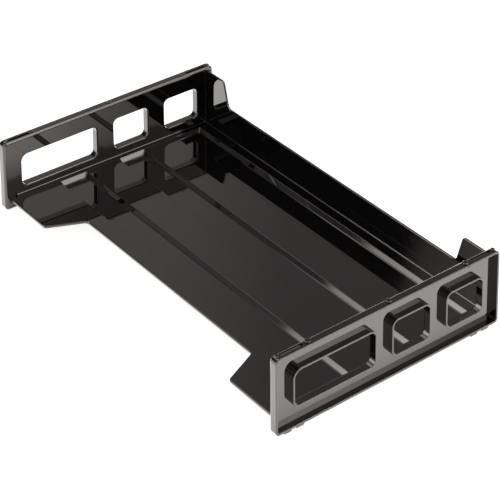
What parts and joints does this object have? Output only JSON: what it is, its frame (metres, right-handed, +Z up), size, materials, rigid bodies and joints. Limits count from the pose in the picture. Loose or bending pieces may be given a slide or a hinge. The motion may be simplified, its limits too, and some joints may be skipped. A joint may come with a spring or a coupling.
{
  "type": "letter tray",
  "caption": "Side-loading stackable desk tray with a channelled floor, a low rear wall and windowed end panels.",
  "frame": {"origin": "on the desk, under the middle of the tray", "axes": "+X along the long side towards the right end panel, -Y towards the open loading side, +Z up"},
  "size_m": [0.4128, 0.2414, 0.0726],
  "materials": {
    "bed": "polished moulded styrene, black",
    "end_panels": "polished moulded styrene, black"
  },
  "bodies": {
    "root": {"tray_bed": "bed", "right_end_panel": "end_panels", "left_end_panel": "end_panels"}
  },
  "joints": []
}
